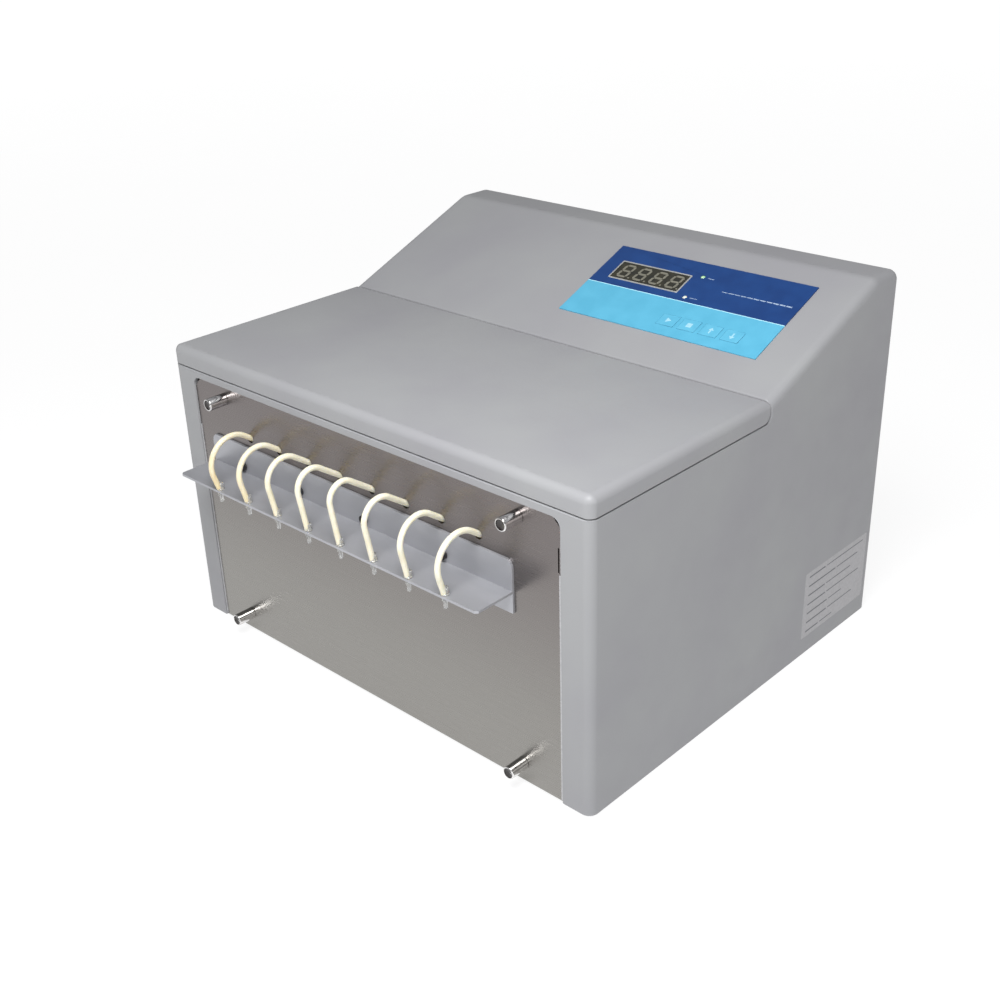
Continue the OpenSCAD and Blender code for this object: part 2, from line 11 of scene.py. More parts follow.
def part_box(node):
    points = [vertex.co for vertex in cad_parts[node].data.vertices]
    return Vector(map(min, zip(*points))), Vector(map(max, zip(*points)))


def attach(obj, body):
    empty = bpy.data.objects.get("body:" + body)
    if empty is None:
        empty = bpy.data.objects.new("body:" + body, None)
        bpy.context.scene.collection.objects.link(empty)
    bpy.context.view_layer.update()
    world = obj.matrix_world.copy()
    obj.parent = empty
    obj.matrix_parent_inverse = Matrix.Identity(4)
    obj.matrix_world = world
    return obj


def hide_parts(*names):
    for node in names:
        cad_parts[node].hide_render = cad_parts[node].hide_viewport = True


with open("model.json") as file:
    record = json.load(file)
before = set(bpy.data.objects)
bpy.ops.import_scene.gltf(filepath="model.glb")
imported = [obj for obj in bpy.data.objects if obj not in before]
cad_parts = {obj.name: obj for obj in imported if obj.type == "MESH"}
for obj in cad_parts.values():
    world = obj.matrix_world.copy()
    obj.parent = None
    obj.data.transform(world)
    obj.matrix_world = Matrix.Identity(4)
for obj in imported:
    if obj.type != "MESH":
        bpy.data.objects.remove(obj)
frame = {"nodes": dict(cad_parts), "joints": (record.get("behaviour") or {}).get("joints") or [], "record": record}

for leftover in ("Cube", "Camera", "Light"):
    if leftover in bpy.data.objects:
        bpy.data.objects.remove(bpy.data.objects[leftover])

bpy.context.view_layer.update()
nodes = frame["nodes"]
joints = {joint["name"]: joint for joint in frame["joints"]}

# Sizes below are millimetres in the pump's own axes: x across, v back from the front face, z up
MM = 0.001
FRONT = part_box("housing")[0].y / MM


def limits(node):
    """Lowest and highest corner of a CAD node, in the pump's own axes."""
    low, high = (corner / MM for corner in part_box(node))
    shift = Vector((0, FRONT, 0))
    return low - shift, high - shift


HOUSE_LOW, HOUSE_HIGH = limits("housing")
LID_LOW, LID_HIGH = limits("lid")
HALF = HOUSE_HIGH.x
WALL = 3
SEAM = LID_LOW.z - 0.8
CREASE = LID_HIGH.y + 0.5
CREST = 268
CREST_R = 16
CORNER_R = 6
STUD_X = 125
STUD_Z = (14, 171)
RAIL_TOP = 125.3
NOZZLE_INSET = 2.6
CHANNELS = range(1, 9)
# Height up the console where the overlay's two blues meet
BAND_S = 60
SLOPE = math.atan2(HOUSE_HIGH.z - LID_HIGH.z, CREST - CREASE)

# Frames for drawing: each takes (a, b, c) in millimetres to the shared frame
PLAN = Matrix.Scale(MM, 4) @ Matrix.Translation((0, FRONT, 0))
ELEVATION = PLAN @ Matrix(((1, 0, 0, 0), (0, 0, 1, 0), (0, 1, 0, 0), (0, 0, 0, 1)))
PROFILE = PLAN @ Matrix(((0, 0, 1, 0), (1, 0, 0, 0), (0, 1, 0, 0), (0, 0, 0, 1)))
CONSOLE = PLAN @ Matrix.Translation((0, CREASE, LID_HIGH.z)) @ Matrix.Rotation(SLOPE, 4, "X")


# ---------------------------------------------------------------- finishes

def linear(red, green, blue):
    """Screen colour from 0 to 255, as the shader's linear colour."""
    return [((c / 255 + 0.055) / 1.055) ** 2.4 if c > 10 else c / 3295 for c in (red, green, blue)] + [1]


class Finish:
    """A procedural material: fixed values on the shader, and nodes for what varies."""

    def __init__(self, name, **fixed):
        self.material = bpy.data.materials.new(name)
        self.material.use_nodes = True
        self.tree = self.material.node_tree
        self.shader = self.tree.nodes["Principled BSDF"]
        for socket, value in fixed.items():
            self.shader.inputs[socket.replace("_", " ")].default_value = value
        self.place = self.node("ShaderNodeTexCoord").outputs["Object"]

    def node(self, kind, **inputs):
        made = self.tree.nodes.new(kind)
        for socket, value in inputs.items():
            self.feed(made.inputs[socket.replace("_", " ")], value)
        return made

    def feed(self, socket, value):
        if isinstance(value, bpy.types.NodeSocket):
            self.tree.links.new(value, socket)
        else:
            socket.default_value = value

    def noise(self, grain, stretch=(1, 1, 1), detail=3):
        """Noise whose features are about grain millimetres across, stretched along the axes."""
        scale = [1 / (MM * grain * s) for s in stretch]
        mapped = self.node("ShaderNodeMapping", Vector=self.place, Scale=scale)
        return self.node("ShaderNodeTexNoise", Vector=mapped.outputs[0], Scale=1.0, Detail=detail).outputs[0]

    def span(self, value, start, end, low, high, soft=False):
        """Value from start..end taken to low..high."""
        made = self.node("ShaderNodeMapRange", Value=value)
        for socket, number in zip(("From Min", "From Max", "To Min", "To Max"), (start, end, low, high)):
            made.inputs[socket].default_value = number
        if soft:
            made.interpolation_type = "SMOOTHSTEP"
        return made.outputs[0]

    def blend(self, factor, first, second):
        made = self.tree.nodes.new("ShaderNodeMix")
        made.data_type = "RGBA"
        self.feed(made.inputs[0], factor)
        self.feed(made.inputs[6], first)
        self.feed(made.inputs[7], second)
        return made.outputs[2]

    def axis(self, name, vector=None):
        """One coordinate of the object-space position."""
        split = self.node("ShaderNodeSeparateXYZ", Vector=vector or self.place)
        return split.outputs[name]

    def colour(self, value):
        self.feed(self.shader.inputs["Base Color"], value)
        return self

    def rough(self, grain, low, high, stretch=(1, 1, 1)):
        value = self.span(self.noise(grain, stretch), 0.3, 0.7, low, high)
        self.feed(self.shader.inputs["Roughness"], value)
        return self

    def bump(self, height, depth, strength=0.5):
        made = self.node("ShaderNodeBump", Height=height)
        made.inputs["Strength"].default_value = strength
        made.inputs["Distance"].default_value = depth * MM
        self.feed(self.shader.inputs["Normal"], made.outputs[0])
        return self


def mottled(finish, first, second, grain, stretch=(1, 1, 1)):
    """Two close colours mixed by noise, which is what wear and handling leave."""
    return finish.blend(finish.span(finish.noise(grain, stretch), 0.35, 0.65, 0, 1), first, second)


def shell_paint():
    """Textured grey powder coat: fine orange peel, faint speckle and slow shade changes."""
    made = Finish("shell_paint", Specular_IOR_Level=0.4)
    broad = mottled(made, linear(148, 148, 152), linear(153, 154, 156), 90)
    speckle = made.span(made.noise(0.35, detail=2), 0.62, 0.74, 0, 0.14)
    made.colour(made.blend(speckle, broad, linear(124, 125, 129)))
    return made.rough(14, 0.42, 0.5).bump(made.noise(0.9, detail=4), 0.03, 0.35).material


def steel_sheet():
    """Fine brushed stainless sheet, the brush marks running across the pump, with a painted reflection: lighter
    low down, darker and browner higher up.
    """
    made = Finish("steel_sheet", Metallic=1.0)
    # Painted reflection and shade: the colour blends from light low on the sheet to dark brownish grey higher up,
    # standing in for what the sheet reflects.
    height = made.span(made.axis("Z"), 0.03, 0.18, 0, 1, soft=True)
    base = made.blend(height, linear(147, 145, 141), linear(124, 118, 117))
    marks = made.span(made.noise(0.3, (60, 60, 1)), 0.35, 0.65, 0, 0.12)
    made.colour(made.blend(marks, base, linear(122, 119, 117)))
    made.rough(0.3, 0.26, 0.31, (80, 80, 1))
    return made.bump(made.noise(0.25, (90, 90, 1), 2), 0.004, 0.08).material


def rail_sheet():
    """The rail's sheet: satin, cooler and duller than the plate behind it."""
    made = Finish("rail_sheet", Metallic=0.5)
    made.colour(mottled(made, linear(178, 179, 184), linear(168, 169, 174), 20, (3, 1, 1)))
    made.rough(0.3, 0.35, 0.42, (60, 1, 1))
    return made.bump(made.noise(0.25, (80, 1, 1), 2), 0.006, 0.2).material


def bright_steel():
    """Polished steel with faint turning marks and handling smears."""
    made = Finish("bright_steel", Metallic=1.0)
    made.colour(mottled(made, linear(226, 225, 224), linear(206, 204, 203), 4))
    made.rough(1.2, 0.08, 0.2)
    return made.bump(made.noise(0.12, (1, 12, 1), 2), 0.008, 0.2).material


def zinc_sheet():
    """Zinc-plated sheet with its faint spangle."""
    made = Finish("zinc_sheet", Metallic=1.0)
    made.colour(mottled(made, linear(190, 192, 196), linear(168, 170, 176), 6))
    return made.rough(3, 0.34, 0.5).bump(made.noise(1.5), 0.02, 0.2).material


def black_screw():
    made = Finish("black_screw", Metallic=0.7)
    made.colour(mottled(made, linear(46, 45, 47), linear(70, 68, 70), 0.8))
    return made.rough(0.6, 0.32, 0.5).bump(made.noise(0.2), 0.01, 0.3).material


def foot_rubber():
    made = Finish("foot_rubber", Specular_IOR_Level=0.3)
    made.colour(mottled(made, linear(38, 38, 40), linear(54, 53, 54), 3))
    return made.rough(1, 0.7, 0.88).bump(made.noise(0.3), 0.05, 0.5).material


def tube_elastomer(number, aged):
    """Cream pump tube; the left ones have yellowed more, mostly near the nozzle."""
    made = Finish("tube_elastomer_%d" % number, Subsurface_Weight=0.35, Subsurface_Scale=0.002,
                  Specular_IOR_Level=0.45)
    made.shader.inputs["Subsurface Radius"].default_value = (1.0, 0.85, 0.55)
    fresh = mottled(made, linear(226, 222, 200), linear(236, 232, 214), 5)
    low = made.span(made.axis("Z"), 0.127, 0.158, aged, aged * 0.25)
    made.colour(made.blend(low, fresh, linear(222, 190, 118)))
    return made.rough(2, 0.3, 0.42).bump(made.noise(0.5, (1, 6, 6)), 0.02, 0.25).material


def clear_plastic():
    made = Finish("clear_plastic", IOR=1.49, Transmission_Weight=0.7)
    made.colour(mottled(made, linear(232, 232, 230), linear(222, 223, 224), 2))
    return made.rough(0.8, 0.1, 0.2).bump(made.noise(0.3), 0.01, 0.2).material


def moulded(name, first, second, low=0.36, high=0.5):
    """Moulded plastic with a fine spark-eroded grain."""
    made = Finish(name, Specular_IOR_Level=0.4)
    made.colour(mottled(made, linear(*first), linear(*second), 7))
    return made.rough(2, low, high).bump(made.noise(0.25, detail=2), 0.015, 0.4).material


def cast_alloy(name, first, second):
    """Machined aluminium: tool marks one way and a soft blasted sheen."""
    made = Finish(name, Metallic=1.0)
    made.colour(mottled(made, linear(*first), linear(*second), 5))
    made.rough(0.8, 0.3, 0.44, (1, 20, 1))
    return made.bump(made.noise(0.3, (1, 24, 1), 2), 0.012, 0.3).material


def board():
    """Circuit board: green mask over a grid of copper tracks."""
    made = Finish("board", Coat_Weight=0.3)
    tracks = made.node("ShaderNodeTexBrick", Vector=made.place, Scale=320.0)
    tracks.inputs["Mortar Size"].default_value = 0.06
    lines = made.span(tracks.outputs["Fac"], 0, 1, 0, 0.6)
    base = mottled(made, linear(22, 82, 52), linear(16, 66, 44), 8)
    made.colour(made.blend(lines, base, linear(58, 128, 78)))
    return made.rough(2, 0.3, 0.42).bump(tracks.outputs["Fac"], 0.04, 0.3).material


def display_black():
    made = Finish("display_black")
    made.colour(mottled(made, linear(20, 20, 22), linear(32, 32, 34), 3))
    return made.rough(1, 0.25, 0.35).bump(made.noise(0.3), 0.01, 0.2).material


def window_film():
    """Smoked film over the display, a little olive where it catches light."""
    made = Finish("window_film", Coat_Weight=0.3, Coat_Roughness=0.1)
    made.colour(mottled(made, linear(34, 35, 31), linear(52, 50, 38), 6))
    return made.rough(3, 0.16, 0.26).bump(made.noise(0.6), 0.005, 0.15).material


def overlay():
    """Printed film: dark blue above, light blue below, a pale line where they meet."""
    made = Finish("overlay", Coat_Weight=0.15, Coat_Roughness=0.25)
    back = CONSOLE.inverted()
    turned = made.node("ShaderNodeMapping", Vector=made.place)
    turned.inputs["Rotation"].default_value = back.to_euler()
    turned.inputs["Scale"].default_value = (1 / MM, 1 / MM, 1 / MM)
    turned.inputs["Location"].default_value = back.translation
    up = made.axis("Y", turned.outputs[0])
    dark = mottled(made, linear(12, 54, 112), linear(16, 60, 120), 12)
    light = mottled(made, linear(84, 168, 200), linear(90, 174, 206), 12)
    two = made.blend(made.span(up, BAND_S - 0.1, BAND_S + 0.1, 0, 1), light, dark)
    line = made.span(up, BAND_S - 0.5, BAND_S - 0.4, 0, 1)
    over = made.span(up, BAND_S + 0.1, BAND_S + 0.2, 1, 0)
    rule = made.node("ShaderNodeMath")
    rule.operation = "MULTIPLY"
    made.feed(rule.inputs[0], line)
    made.feed(rule.inputs[1], over)
    made.colour(made.blend(rule.outputs[0], two, linear(176, 226, 242)))
    return made.rough(6, 0.34, 0.44).bump(made.noise(0.4), 0.008, 0.25).material


def key_film():
    made = Finish("key_film", Coat_Weight=0.15, Coat_Roughness=0.25)
    made.colour(mottled(made, linear(88, 171, 203), linear(95, 178, 209), 6))
    return made.rough(3, 0.34, 0.44).bump(made.noise(0.4), 0.01, 0.3).material


def ink(name, first, second, **fixed):
    """Thin printed mark."""
    made = Finish(name, **fixed)
    made.colour(mottled(made, linear(*first), linear(*second), 1.5))
    return made.rough(1, 0.3, 0.42).bump(made.noise(0.3), 0.004, 0.2).material


def lamp_lens(name, first, second):
    made = Finish(name, Coat_Weight=0.5, Subsurface_Weight=0.2, Subsurface_Scale=0.001)
    made.colour(mottled(made, linear(*first), linear(*second), 1.2))
    return made.rough(1, 0.12, 0.2).bump(made.noise(0.3), 0.006, 0.3).material


FINISHES = {
    "shell_paint": shell_paint(),
    "steel_sheet": steel_sheet(),
    "bright_steel": bright_steel(),
    "zinc_sheet": zinc_sheet(),
    "black_screw": black_screw(),
    "foot_rubber": foot_rubber(),
    "clear_plastic": clear_plastic(),
    "black_plastic": moulded("black_plastic", (34, 34, 36), (46, 46, 48)),
    "red_plastic": moulded("red_plastic", (176, 26, 24), (194, 38, 32)),
    "rotor_alloy": cast_alloy("rotor_alloy", (206, 196, 172), (190, 180, 158)),
    "chassis_alloy": cast_alloy("chassis_alloy", (176, 180, 186), (160, 164, 171)),
    "cassette_plastic": moulded("cassette_plastic", (58, 98, 168), (66, 108, 178), 0.28, 0.4),
    "motor_body": moulded("motor_body", (40, 41, 44), (52, 53, 56), 0.4, 0.55),
    "board": board(),
    "supply_case": cast_alloy("supply_case", (186, 190, 194), (170, 174, 180)),
    "display_black": display_black(),
    "overlay": overlay(),
    "key_film": key_film(),
    "window_film": window_film(),
    "label_film": ink("label_film", (160, 159, 162), (170, 169, 172)),
    "lamp_lens": lamp_lens("lamp_lens", (176, 206, 170), (160, 192, 150)),
}
RAIL_SHEET = rail_sheet()


# ---------------------------------------------------------------- mesh tools

ARC = 8


def arc_points(centre, start, bend, steps=ARC):
    """Points of the arc from start about centre through the angle bend."""
    spoke = start - centre
    return [centre + Matrix.Rotation(bend * k / steps, 2) @ spoke for k in range(steps + 1)]


def outline(corners, insets=None):
    """Clockwise outline through (a, b, radius) corners, each side moved inwards by its inset."""
    insets = insets or [0] * len(corners)
    places = [Vector(corner[:2]) for corner in corners]
    sides = []
    for k, place in enumerate(places):
        along = (places[(k + 1) % len(places)] - place).normalized()
        sides.append((place + Vector((along.y, -along.x)) * insets[k], along))
    points = []
    for k, corner in enumerate(corners):
        (before, d), (after, e) = sides[k - 1], sides[k]
        cross = d.x * e.y - d.y * e.x
        meet = before + d * ((after - before).x * e.y - (after - before).y * e.x) / cross
        if not corner[2]:
            points.append(meet)
            continue
        inset = max(insets[k - 1], insets[k])
        radius = max(corner[2] - inset, 0.0) if cross < 0 else corner[2] + inset
        bend = math.atan2(cross, d.dot(e))
        start = meet - d * radius * math.tan(abs(bend) / 2)
        normal = Vector((-d.y, d.x)) * math.copysign(radius, cross)
        points += arc_points(start + normal, start, bend)
    return points


def finish_mesh(name, mesh):
    bmesh.ops.remove_doubles(mesh, verts=mesh.verts, dist=1e-7)
    bmesh.ops.recalc_face_normals(mesh, faces=mesh.faces)
    data = bpy.data.meshes.new(name)
    mesh.to_mesh(data)
    mesh.free()
    piece = bpy.data.objects.new(name, data)
    bpy.context.scene.collection.objects.link(piece)
    return piece


def loft(name, place, rings):
    """Closed solid through rings of (a, b, c) points."""
    mesh = bmesh.new()
    rows = [[mesh.verts.new(place @ Vector(point)) for point in ring] for ring in rings]
    for low, high in zip(rows, rows[1:]):
        for k in range(len(low)):
            nxt = (k + 1) % len(low)
            mesh.faces.new((low[k], low[nxt], high[nxt], high[k]))
    mesh.faces.new(rows[0])
    mesh.faces.new(reversed(rows[-1]))
    return finish_mesh(name, mesh)


def prism(name, place, points, low, high):
    """Outline of (a, b) points between the heights low and high."""
    return loft(name, place, [[(*point, c) for point in points] for c in (low, high)])


def soft_prism(name, place, points, low, high, edge=0.25, steps=3):
    """Like prism, with its top edge rounded over by shrinking the outline about its middle."""
    middle = sum((Vector(point) for point in points), Vector((0, 0))) / len(points)
    reach = max((Vector(point) - middle).length for point in points)
    rings = [[(*point, low) for point in points]]
    for k in range(steps + 1):
        turn = math.pi / 2 * k / steps
        keep = 1 - edge * (1 - math.cos(turn)) / reach
        height = high - edge * (1 - math.sin(turn))
        rings.append([(*(middle + (Vector(point) - middle) * keep), height) for point in points])
    return loft(name, place, rings)


def rounded_shell(name, corners, edges, half):
    """Profile of (v, z, radius) corners across the width, each side's rims rounded by its edge radius."""
    widest = max(edges)
    rings = []
    for k in range(ARC + 1):
        depth = widest * (1 - math.cos(math.pi / 2 * k / ARC))
        insets = [e - math.sqrt(max(e * e - (e - depth) ** 2, 0)) if depth < e else 0 for e in edges]
        rings.append((depth, outline(corners, insets)))
    left = [[(v, z, depth - half) for v, z in ring] for depth, ring in rings]
    right = [[(v, z, half - depth) for v, z in ring] for depth, ring in reversed(rings)]
    return loft(name, PROFILE, left + right)


def rounded_rect(a0, a1, b0, b1, radius):
    return outline([(a0, b0, radius), (a0, b1, radius), (a1, b1, radius), (a1, b0, radius)])


def circle(a, b, radius, steps=32):
    return [(a + radius * math.cos(math.tau * k / steps), b + radius * math.sin(math.tau * k / steps))
            for k in range(steps)]


def lathe(name, place, profile, steps=48):
    """Solid turned from (radius, height) points about the frame's third axis."""
    return loft(name, place, [[(r * math.cos(math.tau * k / steps), r * math.sin(math.tau * k / steps), c)
                               for k in range(steps)] for r, c in profile])


def bake_modifiers(piece):
    bpy.context.view_layer.update()
    shown = piece.evaluated_get(bpy.context.evaluated_depsgraph_get())
    data = bpy.data.meshes.new_from_object(shown)
    piece.modifiers.clear()
    piece.data = data


def carve(piece, cutters, operation="DIFFERENCE"):
    """Cuts the cutters out of the piece, or adds them to it, and removes them."""
    for cutter in cutters:
        cut = piece.modifiers.new("cut", "BOOLEAN")
        cut.operation = operation
        cut.solver = "EXACT"
        cut.object = cutter
    bake_modifiers(piece)
    for cutter in cutters:
        bpy.data.objects.remove(cutter)


def soften(piece, width, angle=38):
    """Small rounded edges where faces meet sharply."""
    bevel = piece.modifiers.new("edges", "BEVEL")
    bevel.width = width * MM
    bevel.segments = 2
    bevel.limit_method = "ANGLE"
    bevel.angle_limit = math.radians(angle)
    bevel.use_clamp_overlap = True


def shade(piece, angle=38):
    for face in piece.data.polygons:
        face.use_smooth = True
    piece.data.set_sharp_from_angle(angle=math.radians(angle))
    weigh = piece.modifiers.new("normals", "WEIGHTED_NORMAL")
    weigh.keep_sharp = True


def settle(piece, body, slot, finish=None, stands_for=()):
    """Gives a new piece its finish, its body and the CAD nodes that it stands for."""
    piece.data.materials.clear()
    piece.data.materials.append(finish or FINISHES[slot])
    shade(piece)
    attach(piece, body)
    if stands_for:
        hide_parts(*stands_for)
    return piece


def join_meshes(name, parts):
    """One piece from several closed solids that don't overlap."""
    mesh = bmesh.new()
    for part in parts:
        mesh.from_mesh(part.data)
        bpy.data.objects.remove(part)
    return finish_mesh(name, mesh)


# ---------------------------------------------------------------- camera, floor and light

# The camera that took the photo, as found from the corners of the case
CAMERA_TURN = (43.9273, 26.5966, 1.8759)
CAMERA_PLACE = (540.56, -442.7, 484.9)
LENS = 47.96


def add_camera():
    azimuth, elevation, roll = (math.radians(turn) for turn in CAMERA_TURN)
    back = Vector((math.sin(azimuth) * math.cos(elevation), -math.cos(azimuth) * math.cos(elevation),
                   math.sin(elevation)))
    right = Vector((math.cos(azimuth), math.sin(azimuth), 0))
    up = back.cross(right)
    across = right * math.cos(roll) - up * math.sin(roll)
    upright = right * math.sin(roll) + up * math.cos(roll)
    place = PLAN @ Vector(CAMERA_PLACE)
    data = bpy.data.cameras.new("camera")
    data.lens = LENS
    data.sensor_width = 36
    camera = bpy.data.objects.new("camera", data)
    bpy.context.scene.collection.objects.link(camera)
    camera.matrix_world = Matrix(((across.x, upright.x, back.x, place.x),
                                  (across.y, upright.y, back.y, place.y),
                                  (across.z, upright.z, back.z, place.z), (0, 0, 0, 1)))
    bpy.context.scene.camera = camera


def add_floor():
    made = Finish("floor", Specular_IOR_Level=0.5, Emission_Strength=0.87)
    made.shader.inputs["Emission Color"].default_value = (1, 1, 1, 1)
    made.colour(mottled(made, linear(122, 122, 123), linear(119, 119, 120), 300))
    made.rough(120, 0.1, 0.14)
    floor = prism("floor", Matrix.Scale(1, 4), rounded_rect(-6, 6, -6, 6, 1), -0.05, 0)
    floor.data.materials.append(made.material)


def add_light(name, place, aim, size, power):
    data = bpy.data.lights.new(name, "AREA")
    data.shape = "DISK"
    data.size = size
    data.energy = power
    light = bpy.data.objects.new(name, data)
    bpy.context.scene.collection.objects.link(light)
    light.location = place
    light.rotation_euler = (Vector(aim) - Vector(place)).to_track_quat("-Z", "Y").to_euler()
    light.visible_camera = False


def add_world():
    world = bpy.data.worlds.new("studio")
    world.use_nodes = True
    back = world.node_tree.nodes["Background"]
    back.inputs["Color"].default_value = (1, 1, 1, 1)
    back.inputs["Strength"].default_value = 0.24
    bpy.context.scene.world = world
    bpy.context.scene.view_settings.view_transform = "Standard"


add_camera()
add_floor()
add_world()
add_light("softbox", (0.27, -0.44, 0.8), (0.05, -0.1, 0.1), 0.45, 8.7)
add_light("right", (0.62, -0.62, 0.25), (0.175, -0.1, 0.1), 0.25, 0.6)


# ---------------------------------------------------------------- shell and lid

MOUTH_X = 155
MOUTH_TOP = 179.5
BACK_V = HOUSE_HIGH.y
TOP_Z = HOUSE_HIGH.z
SCREW_X = 158
SCREW_Z = (24, 118, 212)
KEY_GAP = 0.2


def shell_corners(grow):
    """Profile corners of the shell moved inwards by grow, and the edge radius along each side."""
    tilt = math.tan(SLOPE)
    thick = grow / math.cos(SLOPE)
    notch = SEAM - grow
    wall_v = CREASE + grow
    foot = LID_HIGH.z + grow * tilt - thick
    crest_v = CREASE + (TOP_Z - grow - LID_HIGH.z + thick) / tilt
    low = HOUSE_LOW.z if not grow else -5
    corners = [
        (grow, low, 0),
        (grow, notch, 0.8),
        (wall_v, notch, 5),
        (wall_v, foot, 1.5),
        (crest_v, TOP_Z - grow, CREST_R),
        (BACK_V - grow, TOP_Z - grow, 6.6),
        (BACK_V - grow, low, 0),
    ]
    rim = max(CORNER_R - grow, 0.5)
    return corners, [rim, min(0.8, rim), min(1.6, rim), rim, rim, rim, 0]


def key_boxes():
    for k in range(1, 5):
        low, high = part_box("key_%d" % k)
        middle = CONSOLE.inverted() @ ((low + high) / 2)
        yield k, middle.x, middle.y


KEY_TOP = 0.9
KEY_W = 12.5
KEY_H = 10
LAMPS = ((70, 86), (70.5, 64.5))
APERTURE = (9, 61.5, 65.5, 85.5)


def build_housing():
    corners, rims = shell_corners(0)
    shell = rounded_shell("housing_shell", corners, rims, HALF)
    corners, rims = shell_corners(WALL)
    cavity = rounded_shell("cavity", corners, rims, HALF - WALL)
    carve(shell, [cavity])
    lugs = [prism("lug", PLAN, rounded_rect(side * STUD_X - 8, side * STUD_X + 8, WALL - 1, 12, 1),
                  MOUTH_TOP - 15.5, SEAM - WALL + 1) for side in (-1, 1)]
    carve(shell, lugs, "UNION")
    cutters = [
        prism("mouth", ELEVATION, rounded_rect(-MOUTH_X, MOUTH_X, -30, MOUTH_TOP, 6), -5, WALL + 0.01),
        prism("deck", PLAN, rounded_rect(-150, 150, 14, 148, 8), SEAM - WALL - 2, SEAM + 2),
        prism("rear", ELEVATION, rounded_rect(-150, 150, 14, 222, 5), BACK_V - WALL - 2, BACK_V + 2),
        prism("aperture", CONSOLE, rounded_rect(*APERTURE, 0.5), -WALL - 2, 2),
        prism("label_seat", PROFILE, rounded_rect(212, 288, 13.5, 62, 0.3), HALF - 0.4, HALF + 2),
    ]
    for side in (-1, 1):
        cutters.append(prism("stud_hole", ELEVATION, circle(side * STUD_X, STUD_Z[1], 2), 0, 20))
        for z in SCREW_Z:
            hole = circle(side * SCREW_X, z, 1.6)
            cutters.append(prism("screw_hole", ELEVATION, hole, BACK_V - 8, BACK_V + 2))
    for _, x, up in key_boxes():
        half_w, half_h = KEY_W / 2 + KEY_GAP, KEY_H / 2 + KEY_GAP
        pocket = rounded_rect(x - half_w, x + half_w, up - half_h, up + half_h, 0.4)
        cutters.append(prism("pocket", CONSOLE, pocket, -1.5, 2))
    for x, up in LAMPS:
        cutters.append(prism("lamp_hole", CONSOLE, circle(x, up, 1.6), -WALL - 2, 2))
    carve(shell, cutters)
    soften(shell, 0.35)
    settle(shell, "case", "shell_paint", stands_for=["housing"])


HINGE_X = 120


def build_lid():
    base, top = LID_LOW.z, LID_HIGH.z
    hinge_v = joints["lid_hinge"]["pos_m"][1] / MM - FRONT
    hinge_z = joints["lid_hinge"]["pos_m"][2] / MM
    barrel = top - hinge_z
    back = LID_HIGH.y
    corners = [(0, base, 0.4), (0, top, 5), (back, top, barrel), (back, base, 6)]
    lid = rounded_shell("lid_shell", corners, [CORNER_R, 5, 1.2, 0.4], HALF)
    inner = [
        (WALL, base - 5),
        (WALL, top - WALL),
        (hinge_v - 3, top - WALL),
        (hinge_v - 3, hinge_z - 3),
        (back + 5, hinge_z - 3),
        (back + 5, base - 5),
    ]
    cutters = [prism("inside", PROFILE, inner, WALL - HALF, HALF - WALL)]
    for side in (-1, 1):
        mid = side * HINGE_X
        notch = rounded_rect(mid - 6.3, mid + 6.3, hinge_v - barrel - 0.6, back + 5, 0.3)
        cutters.append(prism("notch", PLAN, notch, base - 2, hinge_z))
        cutters.append(prism("knuckle", PROFILE, circle(hinge_v, hinge_z, 2.1), mid - 6.3, mid + 6.3))
        cutters.append(prism("bore", PROFILE, circle(hinge_v, hinge_z, 1.25), mid - 15.3, mid + 15.3))
    carve(lid, cutters)
    soften(lid, 0.3)
    settle(lid, "lid", "shell_paint", stands_for=["lid"])


build_housing()
build_lid()


# ---------------------------------------------------------------- front: studs, nozzles, tubes

def frame_at(x, v, z, turn):
    """Drawing frame at a point, its third axis turned from upright about x."""
    return PLAN @ Matrix.Translation((x, v, z)) @ Matrix.Rotation(math.radians(turn), 4, "X")


def stud_places(v):
    """Drawing frames at the four studs, their third axis pointing forwards."""
    return [frame_at(side * STUD_X, v, z, 90) for side in (-1, 1) for z in STUD_Z]


def build_studs():
    """Chromed thumb studs: a rounded rim round a dark dished end."""
    low, high = limits("front_studs")
    radius = (high.z - low.z - (STUD_Z[1] - STUD_Z[0])) / 2
    plate_v = limits("front_plate")[0].y
    length = plate_v - low.y
    profile = [(0, -9), (2, -9), (2, 0), (radius - 0.25, 0), (radius, 0.3), (radius, length - 0.7)]
    for k in range(1, 5):
        turn = math.pi / 2 * k / 4
        profile.append((radius - 0.6 * (1 - math.cos(turn)), length - 0.7 + 0.7 * math.sin(turn)))
    profile += [(radius - 0.84, length - 0.05), (radius - 0.86, length - 0.3), (radius - 0.9, length - 1.5),
                (0, length - 1.6)]
    studs = join_meshes("studs", [lathe("stud", place, profile) for place in stud_places(plate_v)])
    settle(studs, "case", "bright_steel", stands_for=["front_studs"])


def build_stud_ends():
    """Dark plugs pressed into the dished ends of the studs."""
    end_v = limits("front_studs")[0].y
    profile = [(0, -1.55), (3.05, -1.45), (3.05, -0.6), (2.7, -0.35), (1.5, -0.8), (0, -1)]
    plugs = join_meshes("stud_plugs", [lathe("plug", place, profile) for place in stud_places(end_v)])
    gloss = Finish("stud_plug", Coat_Weight=0.3, Coat_Roughness=0.06)
    gloss.colour(mottled(gloss, linear(24, 20, 19), linear(38, 32, 30), 1))
    gloss.rough(0.6, 0.14, 0.22).bump(gloss.noise(0.3), 0.006, 0.2)
    settle(plugs, "case", "black_plastic", gloss.material)


